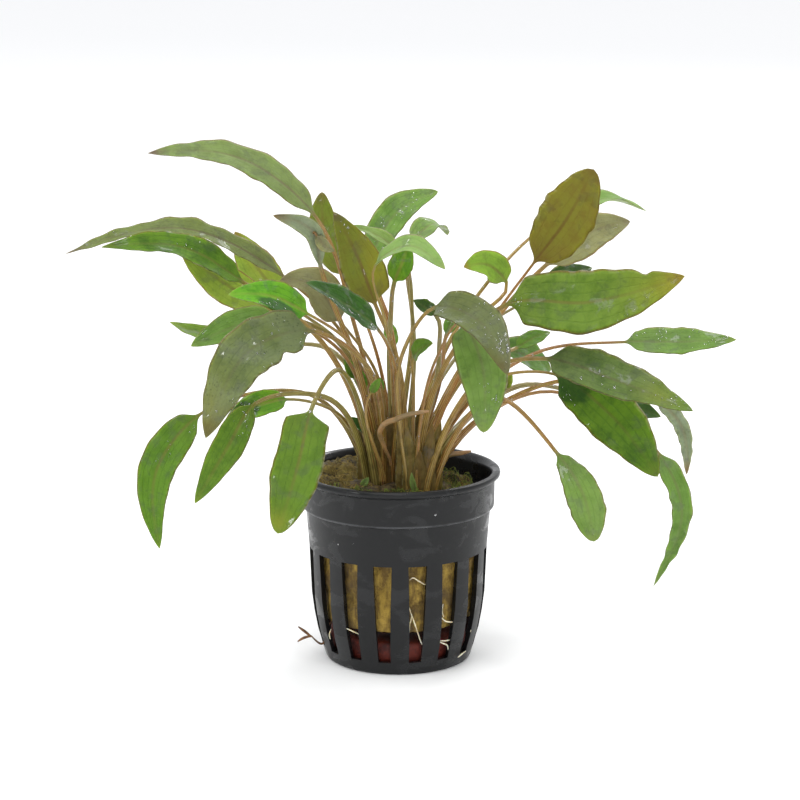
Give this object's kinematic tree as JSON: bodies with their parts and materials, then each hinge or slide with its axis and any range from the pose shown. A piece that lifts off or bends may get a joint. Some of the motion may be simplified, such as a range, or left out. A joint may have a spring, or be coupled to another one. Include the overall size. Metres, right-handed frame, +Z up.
{
  "type": "potted aquarium plant",
  "caption": "Leafy cryptocoryne water plant growing out of a rock wool plug in a slotted black plastic net pot, with a clay ring as weight.",
  "frame": {"origin": "middle of the underside of the pot's base", "axes": "+Z up along the pot's axis, +X to the viewer's right, +Y away from the side shown in the picture"},
  "size_m": [0.1782, 0.1145, 0.1375],
  "materials": {
    "black_plastic": "satin",
    "fired_clay": "matte",
    "rock_wool": "matte",
    "crown_stem": "matte",
    "leaf_fresh_green": "satin",
    "leaf_dark_green": "satin",
    "leaf_olive_brown": "satin",
    "petiole_tan": "satin",
    "root_brown": "matte"
  },
  "bodies": {
    "root": {"net_pot": "black_plastic", "clay_ring": "fired_clay", "wool_plug": "rock_wool", "crown_left": "crown_stem", "crown_right": "crown_stem", "crown_back": "crown_stem", "leaf_01": "leaf_dark_green", "leaf_02": "leaf_fresh_green", "leaf_03": "leaf_olive_brown", "leaf_04": "leaf_dark_green", "leaf_05": "leaf_fresh_green", "leaf_06": "leaf_olive_brown", "leaf_07": "leaf_dark_green", "leaf_08": "leaf_fresh_green", "leaf_09": "leaf_olive_brown", "leaf_10": "leaf_dark_green", "leaf_11": "leaf_fresh_green", "leaf_12": "leaf_olive_brown", "leaf_13": "leaf_dark_green", "leaf_14": "leaf_fresh_green", "leaf_15": "leaf_olive_brown", "leaf_16": "leaf_dark_green", "leaf_17": "leaf_fresh_green", "leaf_18": "leaf_olive_brown", "leaf_19": "leaf_dark_green", "leaf_20": "leaf_fresh_green", "leaf_21": "leaf_olive_brown", "leaf_22": "leaf_dark_green", "leaf_23": "leaf_fresh_green", "leaf_24": "leaf_olive_brown", "leaf_25": "leaf_dark_green", "leaf_26": "leaf_fresh_green", "leaf_27": "leaf_olive_brown", "leaf_28": "leaf_dark_green", "leaf_29": "leaf_fresh_green", "leaf_30": "leaf_olive_brown", "leaf_31": "leaf_dark_green", "leaf_32": "leaf_fresh_green", "leaf_33": "leaf_olive_brown", "leaf_34": "leaf_dark_green", "leaf_35": "leaf_fresh_green", "leaf_36": "leaf_olive_brown", "leaf_37": "leaf_dark_green", "leaf_38": "leaf_fresh_green", "leaf_39": "leaf_olive_brown", "leaf_40": "leaf_dark_green", "leaf_41": "leaf_fresh_green", "leaf_42": "leaf_olive_brown", "leaf_43": "leaf_dark_green", "leaf_44": "leaf_fresh_green", "leaf_45": "leaf_olive_brown", "leaf_46": "leaf_dark_green", "cut_petiole_front": "petiole_tan", "cut_petiole_right": "petiole_tan", "rootlet_brown": "root_brown"}
  },
  "joints": []
}
